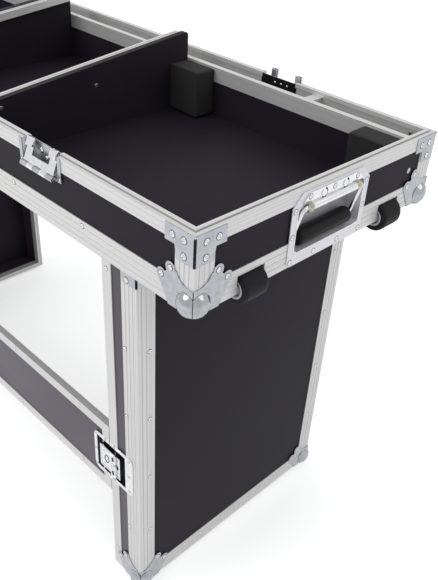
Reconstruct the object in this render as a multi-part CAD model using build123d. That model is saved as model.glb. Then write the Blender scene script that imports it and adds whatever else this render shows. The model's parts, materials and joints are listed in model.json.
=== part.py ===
from build123d import *
from math import asin, cos, degrees, radians, sin, sqrt
import os

# A flight case, open for use: a shallow tray with two side bays and a middle
# bay, on two box legs that a front crossbar ties together. Millimetres. X runs
# along the case, the user stands at -Y, and Z = 0 is the ground.

# Case
case_length = 1360.0
case_depth = 500.0
tray_height = 112.0
floor_lift = 16.0           # recess under the floor, which the tops of the legs enter
ply = 9.0                   # laminated board of every wall
skin = 1.5                  # wall of the aluminium extrusions

# Closing profile on the tray's rim and on the open side of each leg
rim_width = 13.5
rim_face = 20.0             # height of its outer leg
rim_inner = 20.0            # height of its inner leg
rim_head = 6.0
rim_lip = 5.5
rim_groove = 2.0
rim_groove_depth = 3.0
rim_ridge = 1.5             # height of the tongue over the lip

# Edge angles
base_edge = 38.0            # height of the angle round the tray's lower edge
post_edge = 33.0            # width of the upright corner angles
line_width = 1.4            # grooves drawn along each angle
line_depth = 0.5
line_count = 3

# Corner fittings
plate = 1.2                 # pressed steel of corners and dishes
ball_radius = 21.5
ball_inset = 11.5           # centre of the ball behind each face
foot_flat = 0.3             # flat worn on the balls that stand on the ground
ball_foot = 43.0            # plate along each lower edge
ear_radius = 8.5
brace_long = 50.0
brace_short = 33.0
brace_arm = 23.0
brace_drop = 41.5
brace_top = 1.2             # brace below the rim's lip
brace_slit = 1.5            # each face of the brace stops this far from the corner
brace_taper = 3.0
ear_low_along = 55.5        # centre of the ball corner's lower ear
ear_low_up = 36.7
ear_high_along = 39.7       # centre of its upper ear
ear_high_up = 52.2
ear_angle = 30.0            # degrees under the level where the lower ear meets the plate's edge
shoulder_along = 50.0
shoulder_up = 12.0
scoop_radius = 25.0         # hollow between the upper ear and the corner
scoop_along = 6.0
scoop_up = 62.0

# Side bays, partitions and cable duct
bay_width = 476.5           # clear between end rim and partition
partition_thickness = 12.0
partition_front_rise = -3.0     # top of the partition over the rim, at the front
partition_back_rise = 46.0      # the same at the back
partition_corner = 6.0
board_groove = 2.0          # depth that the upright boards stand in the floor
rail_width = 13.5
rail_height = 14.0
rail_drop = 1.0             # rail below the partition's top edge
rail_groove = 2.5
rail_gap = 0.5              # from the rim to the rail's front end
rail_back_gap = 9.0         # from its back end to the partition's back edge
duct_width = 40.5
duct_rail_width = 11.0
duct_rail_height = 26.0
block_length = 74.0         # foam at the back corners of each bay
block_depth = 44.0
block_drop = 2.0
block_lift = 3.0            # gap under the foam, which is glued to the duct board
bridge_width = 19.0
bridge_height = 12.0
bridge_drop = rim_head
bridge_place = 220.0        # from the end of the case

# Legs
leg_inset = 120.0
leg_width = 75.0
leg_height = 706.0
leg_clear = 0.3             # each side, inside the tray's skirt

# Crossbar
bar_height = 151.0
bar_lift = 201.0            # above the lower edge of the legs
bar_trim = 19.0

# Latch keepers in the tray's long walls
keeper_place = 308.0        # from the end of the case
keeper_width = 98.0
keeper_height = 36.0
keeper_front_half = 42.0
keeper_back_half = 37.0
keeper_depth = 10.8
keeper_bottom = 29.0        # floor of the dish below the rim
hinge_radius = 4.2
hinge_drop = 33.0
hinge_pin_radius = 1.5
hinge_length = 77.0
pin_end = 1.0               # pin past the last knuckle
hinge_knuckles = 5
hinge_gap = 0.4
leaf_thickness = 1.6
leaf_half = 35.5
leaf_reach = 26.0
leaf_ear_reach = 39.0
loop_width = 16.0           # flattened loop rolled at each end of a keeper's edge
loop_depth = 7.2
leaf_rest = 0.3             # between a parked keeper's tips and the back of its dish
hinge_stand = 0.2           # between a keeper's knuckles and the dish

# Crossbar latches
latch_height = 88.0
latch_corner = 12.0         # radius of the outer corners of both dishes
latch_flange = 60.0         # width of the dish on the leg
latch_pan = 40.0
latch_pan_half = 36.0
latch_depth = 10.8
catch_flange = 41.0         # width of the dish on the crossbar
catch_pan = 33.0
catch_depth = 8.6
hook_half = 25.0
hook_long = 29.0            # hook plate on the leg's side of the seam
hook_short = 24.0           # and on the crossbar's side
hook_thickness = 2.0
hook_lip = 8.0
hook_lip_inset = 1.0        # lip narrower than its plate at each end
hook_travel = 6.0
catch_bar = 2.0             # bar in the catch dish that the lip pulls on
catch_gap = 0.3
stem_radius = 5.0
stem_place = 14.0
stem_root = 0.5             # stem's overlap with its wing
stem_end_gap = 0.2          # from the stem to the bottom of the dish
wing_half = 28.0
wing_width = 13.0
wing_thickness = 2.5
wing_corner = 3.0
wing_hub = 8.0
tab_height = 4.0
tab_inset = 3.0

# Sprung handles in the end walls
handle_width = 164.0
handle_height = 106.0
handle_lift = 1.0           # flange above the tray's lower edge
handle_plate = 1.5
handle_radius = 8.0         # lower corners of the flange
handle_chamfer = 18.0       # upper corners
pan_half = 70.0
pan_low = 20.0
pan_top = 90.0
pan_depth = 25.0
pan_radius = 8.0
hinge_plate_half = 64.0
hinge_plate_top = 104.0
hinge_plate_chamfer = 12.0
hinge_plate_gap = 1.0       # from the mouth of the pan to the plate
barrel_radius = 6.0
barrel_clear = 0.5          # from the barrel's end to the bail's bend
barrel_lift = 84.0
barrel_out = 3.0
rod_radius = 3.5
bail_half = 64.0
bail_length = 52.0
bail_bend = 8.0
bail_tilt = 15.0            # degrees that the bail hangs inwards at rest
grip_radius = 12.0
grip_length = 110.0
grip_chamfer = 2.0
lug_place = 23.0
lug_drop = 8.0
lug_radius = 5.0
lug_height = 2.4
run_clear = 0.05            # radial clearance of every turning fit

# Transport wheels in the right end
wheel_inset = 100.0         # middle of each wheel from the case's front or back
wheel_radius = 23.5
wheel_in = 9.0              # axle behind the end face
wheel_lift = 3.5            # axle above the lower edge
tyre_width = 43.0
tyre_chamfer = 2.5
hub_width = 45.4
hub_radius = 15.0
hub_rim = 3.0
hub_dish = 6.0
axle_radius = 4.0
housing_width = 50.0
housing_wall = 1.5
wheel_clear = 1.5
wheel_mouth_height = 27.0   # notch in the edge angle
cut_over = 1.0              # how far a cut runs past what it cuts

# Places that the sizes above settle
ball_proud = ball_radius - ball_inset
wheel_proud = wheel_radius - wheel_in
origin_shift = (ball_proud - wheel_proud) / 2   # centres the outer box on Z
x_end = case_length / 2
y_side = case_depth / 2
wall = skin + ply
leg_bottom = ball_proud - foot_flat
leg_top = leg_bottom + leg_height
tray_bottom = leg_top - floor_lift
tray_top = tray_bottom + tray_height
floor_top = leg_top + ply
rim_seat = tray_top - rim_head
rail_back = y_side - wall - duct_width
rail_front = rail_back - duct_rail_width
bay_end = x_end - rim_width
part_face = bay_end - bay_width             # bay side of the right partition
part_back = part_face - partition_thickness     # its mixer side
bay_front = -y_side + rim_width
leg_out = x_end - leg_inset
leg_in = leg_out - leg_width
leg_y = y_side - wall - plate - leg_clear
bar_half = leg_in - rim_ridge
bar_bottom = leg_bottom + bar_lift
bar_top = bar_bottom + bar_height
bar_thickness = ply + 2 * skin
latch_z = (bar_bottom + bar_top) / 2
keeper_x = x_end - keeper_place
hinge_out = plate + hinge_stand + hinge_radius      # keeper's pin in front of the rim
parked_reach = hinge_out + keeper_depth - leaf_rest - leaf_thickness / 2
parked_tilt = degrees(asin(parked_reach / leaf_ear_reach))      # front keepers lean into their dishes
barrel_half = bail_half - bail_bend - barrel_clear
wheel_y = y_side - wheel_inset
fold_rise = scoop_up - sqrt(scoop_radius ** 2 - scoop_along ** 2)   # height of the ball corner's fold


# Helpers

def block(x0, x1, y0, y1, z0, z1):
    """A box between two corners."""
    centre = ((x0 + x1) / 2, (y0 + y1) / 2, (z0 + z1) / 2)
    return Pos(*centre) * Box(x1 - x0, y1 - y0, z1 - z0)


def prism_x(points, x0, x1):
    """A (y, z) outline drawn out along X."""
    face = make_face(Polyline(*points, close=True))
    return extrude(Plane.YZ.offset(x0) * face, x1 - x0)


def prism_y(points, y0, y1):
    """An (x, z) outline drawn out along Y."""
    face = make_face(Polyline(*points, close=True))
    return extrude(Plane.XZ.offset(-y1) * face, y1 - y0)


def prism_z(points, z0, z1):
    """An (x, y) outline drawn out along Z."""
    face = make_face(Polyline(*points, close=True))
    return extrude(Plane.XY.offset(z0) * face, z1 - z0)


def rod_y(radius, y0, y1, x=0.0, z=0.0):
    """A round bar along Y."""
    return Pos(x, (y0 + y1) / 2, z) * Rot(90, 0, 0) * Cylinder(radius, y1 - y0)


def rod_x(radius, x0, x1, y=0.0, z=0.0):
    """A round bar along X."""
    return Pos((x0 + x1) / 2, y, z) * Rot(0, 90, 0) * Cylinder(radius, x1 - x0)


def both_ends(*shapes):
    """The shapes and their images at the other end of the case."""
    return [*shapes, *[mirror(shape, Plane.YZ) for shape in shapes]]


def both_sides(*shapes):
    """The shapes and their images at the back of the case."""
    return [*shapes, *[mirror(shape, Plane.XZ) for shape in shapes]]


def save(name, *shapes):
    """Write one sub-part, moved so that the outer box is centred on the Z axis."""
    solids = [Pos(origin_shift, 0, 0) * solid for shape in shapes for solid in shape.solids()]
    export_step(solids[0] if len(solids) == 1 else Compound(solids), f"parts/{name}.step")


# Profiles

def rim_section():
    """Closing profile: (inward from the outer face, up from the lip)."""
    return [
        (0, -rim_face),
        (0, 0),
        (rim_lip, 0),
        (rim_lip, -rim_groove_depth),
        (rim_lip + rim_groove, -rim_groove_depth),
        (rim_lip + rim_groove, rim_ridge),
        (rim_width, rim_ridge),
        (rim_width, -rim_head),
        (wall + skin, -rim_head),
        (wall + skin, -rim_inner),
        (wall, -rim_inner),
        (wall, -rim_head),
        (skin, -rim_head),
        (skin, -rim_face),
    ]


def lined_face(length, start=0.0):
    """Points up an outer face, with shallow grooves along it: (inward, up)."""
    points = []
    pitch = length / (line_count + 1)
    for count in range(1, line_count + 1):
        low = start + pitch * count - line_width / 2
        high = low + line_width
        points += [(0, low), (line_depth, low), (line_depth, high), (0, high)]
    return points


def base_section():
    """Angle round a lower edge, its lip under the board: (inward, up)."""
    return [
        (0, 0),
        *lined_face(base_edge),
        (0, base_edge),
        (skin, base_edge),
        (skin, skin),
        (wall, skin),
        (wall, 0),
    ]


def post_section(width_a=post_edge, width_b=post_edge):
    """Upright corner angle: (inward from one face, inward from the other)."""
    side = [(a, b) for b, a in lined_face(width_a)]
    return [
        (0, 0),
        *side,
        (width_a, 0),
        (width_a, skin),
        (skin, skin),
        (skin, width_b),
        (0, width_b),
        *reversed(lined_face(width_b)),
    ]


def mitre(half, side, depth, low, high):
    """Wedge that trims a bar along X to 45 degrees at both ends."""
    outline = [(-half, -side), (half, -side), (half - depth, -side + depth), (-half + depth, -side + depth)]
    return prism_z(outline, low, high)


def mitre_end(half, side, depth, low, high):
    """The same for a bar along Y at the +X end."""
    outline = [(half, -side), (half, side), (half - depth, side - depth), (half - depth, -side + depth)]
    return prism_z(outline, low, high)


# Tray boards

def keeper_pan(margin=0.0):
    """Space inside a keeper's dish, grown by a wall: x along the rim, y inward, z up."""
    front = keeper_front_half + margin
    back = keeper_back_half + margin
    outline = [(-front, 0), (front, 0), (back, keeper_depth + margin), (-back, keeper_depth + margin)]
    return prism_z(outline, -keeper_bottom - margin, 0)


def keeper_cut():
    """What a keeper's dish removes from the rim: its own space, and the tongue behind it."""
    behind = keeper_back_half + plate
    tongue = block(-behind, behind, rim_lip + rim_groove, rim_width + cut_over,
                   -rim_face - cut_over, rim_ridge + cut_over)
    return keeper_pan(plate), tongue


def front_places():
    """Both front keepers, as places on the rim's front edge."""
    return [Pos(side * keeper_x, -y_side, tray_top) for side in (1, -1)]


def tray_long_wall():
    board = block(-x_end + skin, x_end - skin, -y_side + skin, -y_side + wall, tray_bottom + skin, rim_seat)
    for place in front_places():
        board -= place * keeper_pan(plate)
    return board


def handle_pan(margin=0.0):
    """Space inside the right handle's dish, grown by a wall."""
    low = tray_bottom + pan_low - margin
    high = tray_bottom + pan_top + margin
    half = pan_half + margin
    outline = RectangleRounded(2 * half, high - low, pan_radius + margin)
    face = Plane((x_end + handle_plate, 0, (low + high) / 2), x_dir=(0, 1, 0), z_dir=(-1, 0, 0)) * outline
    return extrude(face, pan_depth + margin)


def handle_notch():
    """Room in the tray floor's end for the handle's dish."""
    half = pan_half + plate
    back = x_end + handle_plate - pan_depth - plate
    return block(back, x_end, -half, half, leg_top - cut_over, floor_top + cut_over)


def wheel_places():
    return [Pos(x_end - wheel_in, side * wheel_y, tray_bottom + wheel_lift) for side in (-1, 1)]


def housing_space(margin=0.0):
    """Room round one wheel, open to the end and to the ground; origin at its axle."""
    back = -wheel_radius - wheel_clear - margin
    top = wheel_radius + wheel_clear + margin
    half = housing_width / 2 - housing_wall + margin
    return block(back, wheel_in - skin, -half, half, -wheel_lift, top)


def tray_end_wall(wheels):
    y_in = y_side - wall
    board = block(x_end - wall, x_end - skin, -y_in, y_in, tray_bottom + skin, rim_seat)
    board -= handle_pan(plate)
    if wheels:
        for place in wheel_places():
            board -= place * housing_space(housing_wall)
    return board


def tray_floor():
    board = block(-x_end + wall, x_end - wall, -y_side + wall, y_side - wall, leg_top, floor_top)
    for place in wheel_places():
        board -= place * housing_space(housing_wall)
    for cut in both_ends(handle_notch(), partition()):
        board -= cut
    return board - duct_board()


# Tray extrusions

def rim_front():
    points = [(-y_side + inward, tray_top + up) for inward, up in rim_section()]
    bar = prism_x(points, -x_end, x_end)
    bar &= mitre(x_end, y_side, rim_width, tray_top - rim_face, tray_top + rim_ridge)
    for place in front_places():
        for cut in keeper_cut():
            bar -= place * cut
    return bar


def rim_right():
    points = [(x_end - inward, tray_top + up) for inward, up in rim_section()]
    bar = prism_y(points, -y_side, y_side)
    return bar & mitre_end(x_end, y_side, rim_width, tray_top - rim_face, tray_top + rim_ridge)


def base_front():
    points = [(-y_side + inward, tray_bottom + up) for inward, up in base_section()]
    bar = prism_x(points, -x_end, x_end)
    return bar & mitre(x_end, y_side, wall, tray_bottom, tray_bottom + base_edge)


def base_right(wheels):
    points = [(x_end - inward, tray_bottom + up) for inward, up in base_section()]
    bar = prism_y(points, -y_side, y_side)
    bar &= mitre_end(x_end, y_side, wall, tray_bottom, tray_bottom + base_edge)
    bar -= handle_pan(plate)
    if wheels:
        half = housing_width / 2
        for place in wheel_places():
            bar -= place * block(-wall, wheel_in + cut_over, -half, half,
                                 -wheel_lift - cut_over, wheel_mouth_height - wheel_lift)
    return bar


def corner_post():
    points = [(x_end - a, -y_side + b) for a, b in post_section()]
    return prism_z(points, tray_bottom + base_edge, tray_top - rim_face)


# Corner fittings

def brace_outline():
    """One face of a top corner brace: (from the corner, down from the rim's lip)."""
    return [
        (brace_slit, -brace_top),
        (brace_long, -brace_top),
        (brace_long, -brace_top - brace_arm),
        (brace_short, -brace_top - brace_arm),
        (brace_short - brace_taper, -brace_top - brace_drop),
        (brace_slit, -brace_top - brace_drop),
    ]


def brace_fold(x, y, top):
    """Strip round the corner at (x, -y), which joins both faces of a brace above their slit."""
    reach = brace_slit + plate
    strip = block(x - reach, x + plate, -y - plate, -y + reach, top - 2 * plate, top)
    return strip - block(x - reach, x, -y, -y + reach, top - 2 * plate, top)


def corner_brace():
    front = prism_y([(x_end - a, tray_top + b) for a, b in brace_outline()], -y_side - plate, -y_side)
    end = prism_x([(-y_side + a, tray_top + b) for a, b in brace_outline()], x_end, x_end + plate)
    return front + end + brace_fold(x_end, y_side, tray_top - brace_top)


def ear_outline():
    """One face of a ball corner: its two riveted ears and the scooped edge."""
    turn = radians(ear_angle)
    low = (ear_low_along, ear_low_up)
    high = (ear_high_along, ear_high_up)
    edge = (ear_low_along + ear_radius * cos(turn), ear_low_up - ear_radius * sin(turn))
    shoulder = (shoulder_along, shoulder_up)
    body = make_face(Polyline((0, 0), (ball_foot, 0), shoulder, edge, low, high, (0, ear_high_up), close=True))
    ears = [Pos(*centre) * Circle(ear_radius) for centre in (low, high)]
    return body + ears - Pos(scoop_along, scoop_up) * Circle(scoop_radius)


def ball_corner(x, y, z):
    """Ball corner on the lower corner at (x, -y, z), its plates on the three faces."""
    face = ear_outline()
    front = extrude(Plane((x, -y, z), x_dir=(-1, 0, 0), z_dir=(0, 1, 0)) * face, -plate)
    end = extrude(Plane((x, -y, z), x_dir=(0, 1, 0), z_dir=(1, 0, 0)) * face, plate)
    under = block(x - ball_foot, x + plate, -y - plate, -y + ball_foot, z - plate, z)
    fold = block(x, x + plate, -y - plate, -y, z, z + fold_rise)
    ball = Pos(x - ball_inset, -y + ball_inset, z + ball_inset) * Sphere(ball_radius)
    reach = 2 * ball_radius
    case_corner = block(x - reach, x, -y, -y + reach, z, z + reach)
    return (ball - case_corner) + front + end + under + fold


# Inside the tray

def partition():
    low = floor_top - board_groove
    points = [
        (bay_front, low),
        (bay_front, tray_top + partition_front_rise),
        (rail_front, tray_top + partition_back_rise),
        (rail_front, low),
    ]
    board = prism_x(points, part_back, part_face)
    corner = board.edges().filter_by(Axis.X).group_by(Axis.Z)[-1]
    return fillet(corner, partition_corner)


def mixer_rail():
    """Slotted rail along the partition's top, on its side towards the middle bay."""
    rise = partition_back_rise - partition_front_rise
    slope = rise / (rail_front - bay_front)
    front_y = bay_front + rail_gap
    back_y = rail_front - rail_back_gap
    level = tray_top + partition_front_rise - rail_drop
    front = level + slope * (front_y - bay_front)
    back = level + slope * (back_y - bay_front)
    outline = [(front_y, front - rail_height), (front_y, front), (back_y, back), (back_y, back - rail_height)]
    bar = prism_x(outline, part_back - rail_width, part_back)
    middle = part_back - rail_width / 2
    slot = prism_x([(front_y, front - rail_groove), (front_y, front + cut_over), (back_y, back + cut_over),
                    (back_y, back - rail_groove)], middle - rail_groove / 2, middle + rail_groove / 2)
    return bar - slot


def duct_board():
    half = x_end - wall
    return block(-half, half, rail_front, rail_back, floor_top - board_groove, tray_top - duct_rail_height)


def duct_rail():
    low = tray_top - duct_rail_height
    outer = block(-bay_end, bay_end, rail_front, rail_back, low, tray_top)
    inner = block(-bay_end, bay_end, rail_front + skin, rail_back - skin, low + skin, tray_top - skin)
    return outer - inner


def bay_blocks():
    """Foam at the back corners of both bays, one of them over a wheel housing."""
    top = tray_top - block_drop
    low = floor_top + block_lift
    y_front = rail_front - block_depth
    outer = block(bay_end - block_length, bay_end, y_front, rail_front, low, top)
    inner = block(part_face, part_face + block_length, y_front, rail_front, low, top)
    blocks = both_ends(outer, inner)
    for place in wheel_places():
        blocks = [foam - place * housing_space(housing_wall) for foam in blocks]
    return blocks


def duct_bridge():
    centre = x_end - bridge_place
    return block(centre - bridge_width / 2, centre + bridge_width / 2, rail_back, y_side - wall - skin,
                 tray_top - bridge_drop - bridge_height, tray_top - bridge_drop)


# Keepers: x along the rim, y inward, z up from the rim, origin on the outer edge

def knuckles(first, step):
    """Rolled hinge knuckles, every other one along the barrel, centred on the hinge."""
    pitch = hinge_length / hinge_knuckles
    rolls = []
    for count in range(first, hinge_knuckles, step):
        low = -hinge_length / 2 + count * pitch + hinge_gap / 2
        rolls.append((low, low + pitch - hinge_gap))
    return rolls


def hinge_axis():
    return Pos(0, -hinge_out, -hinge_drop)


def keeper_dish():
    """Recessed dish with the fixed knuckles and the hinge pin, which is fused with them."""
    flange = block(-keeper_width / 2, keeper_width / 2, -plate, 0, -keeper_height, 0)
    dish = flange + keeper_pan(plate) - keeper_pan()
    mouth = block(-keeper_front_half, keeper_front_half, -2 * plate, 0, -keeper_bottom, cut_over)
    dish -= mouth
    for low, high in knuckles(0, 2):
        dish += hinge_axis() * rod_x(hinge_radius, low, high)
        dish += hinge_axis() * block(low, high, 0, hinge_out, -hinge_radius, 0)
    reach = hinge_length / 2 + pin_end
    return dish + hinge_axis() * rod_x(hinge_pin_radius, -reach, reach)


def keeper_loop():
    """Flattened loop at one end of a keeper's edge, its inner wall in the keeper's own plane."""
    centre = Pos(leaf_half - loop_width / 2, (leaf_thickness - loop_depth) / 2, leaf_reach)
    outer = SlotOverall(loop_width, loop_depth)
    inner = SlotOverall(loop_width - 2 * leaf_thickness, loop_depth - 2 * leaf_thickness)
    return centre * extrude(outer - inner, leaf_ear_reach - leaf_reach)


def keeper_leaf(tilt):
    """Hinged keeper, leaning into its dish by an angle in degrees."""
    start = hinge_radius + hinge_gap
    inset = leaf_thickness / 2
    leaf = block(-leaf_half, leaf_half, -inset, inset, start, leaf_reach)
    for loop in both_ends(keeper_loop()):
        leaf += loop
    for low, high in knuckles(1, 2):
        leaf += rod_x(hinge_radius, low, high)
        leaf += block(low, high, -inset, inset, 0, start)
    leaf -= rod_x(hinge_pin_radius + run_clear, -keeper_width, keeper_width)
    return hinge_axis() * Rot(-tilt, 0, 0) * leaf


# Crossbar latches: x from the seam towards the leg, y inward, z up from the middle

def rounded_flange(x0, x1, outer):
    """Flat flange of a latch dish, rounded at the two corners on its outer side."""
    half = latch_height / 2
    flange = block(x0, x1, -plate, 0, -half, half)
    corners = flange.edges().filter_by(Axis.Y).group_by(Axis.X)[outer]
    return fillet(corners, latch_corner)


def latch_dish():
    half = latch_pan_half + plate
    shell = block(0, latch_pan + plate, 0, latch_depth + plate, -half, half)
    pan = block(-cut_over, latch_pan, -plate - cut_over, latch_depth, -latch_pan_half, latch_pan_half)
    return rounded_flange(0, latch_flange, -1) + shell - pan


def catch_dish():
    start = -rim_ridge
    half = latch_pan_half + plate
    shell = block(start - catch_pan - plate, start, 0, catch_depth + plate, -half, half)
    pan = block(start - catch_pan, 0, -plate - cut_over, catch_depth, -latch_pan_half, latch_pan_half)
    bar_x = -hook_short + hook_thickness + catch_gap
    bar = block(bar_x, bar_x + catch_bar, plate, catch_depth + plate, -latch_pan_half, latch_pan_half)
    return (rounded_flange(start - catch_flange, start, 0) + shell - pan) + bar


def latch_hook():
    """Plate that pulls the crossbar's catch home, slotted for the wing's stem."""
    face = -plate - catch_gap
    back = face - hook_thickness
    lip_half = hook_half - hook_lip_inset
    slab = block(-hook_short, hook_long, back, face, -hook_half, hook_half)
    lip = block(-hook_short, -hook_short + hook_thickness, face, hook_lip, -lip_half, lip_half)
    bore = stem_radius + catch_gap
    slot = block(stem_place, stem_place + hook_travel, back - cut_over, face + cut_over, -bore, bore)
    ends = [rod_y(bore, back - cut_over, face + cut_over, stem_place + shift) for shift in (0, hook_travel)]
    return slab + lip - slot - ends[0] - ends[1]


def latch_wing():
    """Stem and two-lobed wing that work the latch."""
    seat = -plate - hook_thickness - 2 * catch_gap
    face = seat - wing_thickness
    stem = rod_y(stem_radius, seat - stem_root, latch_depth - stem_end_gap, stem_place)
    hub = rod_y(wing_hub, face, seat, stem_place)
    half = wing_width / 2
    tab_half = half - tab_inset
    lobes = block(stem_place - half, stem_place + half, face, seat, -wing_half, wing_half)
    wing = stem + hub + fillet(lobes.edges().filter_by(Axis.Y), wing_corner)
    for side in (1, -1):
        ends = sorted((side * wing_half, side * (wing_half - wing_thickness)))
        wing += block(stem_place - tab_half, stem_place + tab_half, face - tab_height, seat, *ends)
    return wing


# Handles, at the right end

def handle_dish():
    """Pressed dish; its flange is cut off at the upper corners and rounded at the lower ones."""
    low = tray_bottom + handle_lift
    outline = Rectangle(handle_width, handle_height)
    outline = chamfer(outline.vertices().group_by(Axis.Y)[-1], handle_chamfer)
    outline = fillet(outline.vertices().group_by(Axis.Y)[0], handle_radius)
    centre = (x_end, 0, low + handle_height / 2)
    flange = extrude(Plane(centre, x_dir=(0, 1, 0), z_dir=(1, 0, 0)) * outline, handle_plate)
    return flange + handle_pan(plate) - handle_pan()


def handle_axis():
    return Pos(x_end + barrel_out, 0, tray_bottom + barrel_lift)


def handle_hinge():
    """Riveted plate whose lower edge rolls round the bail's top rod."""
    base = x_end + handle_plate
    slab_low = tray_bottom + pan_top + hinge_plate_gap
    slab = block(base, base + handle_plate, -hinge_plate_half, hinge_plate_half,
                 slab_low, tray_bottom + hinge_plate_top)
    slab = chamfer(slab.edges().filter_by(Axis.X).group_by(Axis.Z)[-1], hinge_plate_chamfer)
    neck = block(base, base + handle_plate, -barrel_half, barrel_half, tray_bottom + barrel_lift, slab_low)
    hinge = slab + neck + handle_axis() * rod_y(barrel_radius, -barrel_half, barrel_half)
    for side in (1, -1):
        centre = Pos(base + handle_plate, side * lug_place, tray_bottom + hinge_plate_top - lug_drop)
        hinge += centre * Rot(0, 90, 0) * Cylinder(lug_radius, lug_height)
    return hinge - handle_axis() * rod_y(rod_radius + run_clear, -case_depth, case_depth)


def bail_corner():
    """Quarter bend from the top rod into an arm; origin on the top rod's axis, at the handle's middle."""
    middle = Plane((0, bail_half - bail_bend, -bail_bend), x_dir=(0, 1, 0), z_dir=(1, 0, 0))
    return middle * Torus(bail_bend, rod_radius, major_angle=90, align=Align.NONE)


def handle_bail():
    """Closed loop of round bar: top rod in the barrel, two arms, grip rod."""
    run = bail_half - bail_bend
    arm = bail_length - 2 * bail_bend
    top = bail_corner() + rod_y(rod_radius, 0, run)
    low = mirror(top, Plane.XY.offset(-bail_length / 2))
    half = top + low + Pos(0, bail_half, -bail_length / 2) * Cylinder(rod_radius, arm)
    return handle_axis() * Rot(0, bail_tilt, 0) * (half + mirror(half, Plane.XZ))


def handle_grip():
    half = grip_length / 2
    body = rod_y(grip_radius, -half, half, 0, -bail_length)
    body = chamfer(body.edges(), grip_chamfer)
    body -= rod_y(rod_radius, -half, half, 0, -bail_length)
    return handle_axis() * Rot(0, bail_tilt, 0) * body


# Wheels; origin at the axle's middle

def wheel_tyre():
    half = tyre_width / 2
    body = rod_y(wheel_radius, -half, half)
    body = chamfer(body.edges(), tyre_chamfer)
    return body - rod_y(hub_radius, -half, half)


def wheel_hub():
    half = hub_width / 2
    tread = tyre_width / 2
    body = rod_y(hub_radius, -tread, tread)
    for side in (1, -1):
        ends = sorted((side * tread, side * (tread - hub_dish)))
        body -= rod_y(hub_radius - hub_rim, *ends)
    body += rod_y(2 * axle_radius, -half, half)
    return body - rod_y(axle_radius + run_clear, -half, half)


def wheel_mount():
    """Pressed housing with the axle riveted into it."""
    half = housing_width / 2
    return housing_space(housing_wall) - housing_space() + rod_y(axle_radius, -half, half)


# Legs, drawn at the right

def leg_walls():
    """Front, back, foot and top boards of the shallow leg box, all in the frame's channel."""
    x0 = leg_in + rim_head
    x1 = leg_out - wall
    y0 = leg_y - skin
    y1 = leg_y - wall
    front = block(x0, x1, -y0, -y1, leg_bottom + skin, leg_top - skin)
    pan = Pos(leg_in, -leg_y, latch_z) * block(
        0, latch_pan + plate, 0, latch_depth + plate, -latch_pan_half - plate, latch_pan_half + plate)
    back = mirror(front, Plane.XZ)
    foot = block(x0, x1, -y1, y1, leg_bottom + skin, leg_bottom + wall)
    top = block(x0, x1, -y1, y1, leg_top - wall, leg_top - skin)
    return front - pan, back, foot, top


def leg_panel():
    half = leg_y - skin
    return block(leg_out - wall, leg_out - skin, -half, half, leg_bottom + skin, leg_top - skin)


def leg_frame():
    """Closing profile round the open side of the leg, mitred at its corners."""
    section = rim_section()
    depth = rim_width
    y0, z0, z1 = leg_y, leg_bottom, leg_top
    x0, x1 = leg_in - rim_ridge, leg_in + rim_face
    front = prism_z([(leg_in - up, -y0 + inward) for inward, up in section], z0, z1)
    front &= prism_x([(-y0, z0), (-y0, z1), (-y0 + depth, z1 - depth), (-y0 + depth, z0 + depth)], x0, x1)
    foot = prism_y([(leg_in - up, z0 + inward) for inward, up in section], -y0, y0)
    foot &= prism_x([(-y0, z0), (y0, z0), (y0 - depth, z0 + depth), (-y0 + depth, z0 + depth)], x0, x1)
    top = prism_y([(leg_in - up, z1 - inward) for inward, up in section], -y0, y0)
    top &= prism_x([(-y0, z1), (y0, z1), (y0 - depth, z1 - depth), (-y0 + depth, z1 - depth)], x0, x1)
    half = latch_pan_half + plate
    gap = block(x0 - cut_over, x1 + cut_over, -y0 - cut_over, -y0 + depth + cut_over,
                latch_z - half, latch_z + half)
    return front - gap, mirror(front, Plane.XZ), foot, top


def leg_angles():
    """Upright corner angles and the angles round the foot."""
    points = [(leg_out - a, -leg_y + b) for a, b in post_section()]
    post = prism_z(points, leg_bottom + post_edge, leg_top)
    foot_points = [(leg_out - inward, leg_bottom + up) for inward, up in foot_section()]
    foot = prism_y(foot_points, -leg_y, leg_y)
    foot &= mitre_end(leg_out, leg_y, wall, leg_bottom, leg_bottom + post_edge)
    short_points = [(-leg_y + inward, leg_bottom + up) for inward, up in foot_section()]
    short = prism_x(short_points, leg_in + rim_face, leg_out)
    mitred = [(leg_out - wall, -leg_y + wall), (leg_out, -leg_y), (leg_out + cut_over, -leg_y + wall)]
    short -= prism_z(mitred, leg_bottom - cut_over, leg_bottom + post_edge + cut_over)
    return [*both_sides(post, short), foot]


def foot_section():
    """Angle round the foot of a leg, its lip under the board: (inward, up)."""
    return [
        (0, 0),
        *lined_face(post_edge),
        (0, post_edge),
        (skin, post_edge),
        (skin, skin),
        (wall, skin),
        (wall, 0),
    ]


def leg_brace():
    """Folded plate on the upper corner of a leg."""
    low = leg_top - brace_top - brace_drop - plate
    top = leg_top - brace_top
    reach = post_edge - brace_taper
    front = block(leg_out - reach, leg_out - brace_slit, -leg_y - plate, -leg_y, low, top)
    end = block(leg_out, leg_out + plate, -leg_y + brace_slit, -leg_y + reach, low, top)
    return front + end + brace_fold(leg_out, leg_y, top)


def foot_ball():
    """Ball corner of a leg, with the flat that it stands on."""
    ground = block(0, case_length, -case_depth, case_depth, -ball_radius, 0)
    return ball_corner(leg_out, leg_y, leg_bottom) - ground


# Crossbar, its front flush with the legs

def bar_section():
    """Channel over the board's edge: (inward from the edge, inward from the front)."""
    return [
        (0, 0),
        (bar_trim, 0),
        (bar_trim, skin),
        (skin, skin),
        (skin, skin + ply),
        (bar_trim, skin + ply),
        (bar_trim, bar_thickness),
        (0, bar_thickness),
    ]


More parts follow.
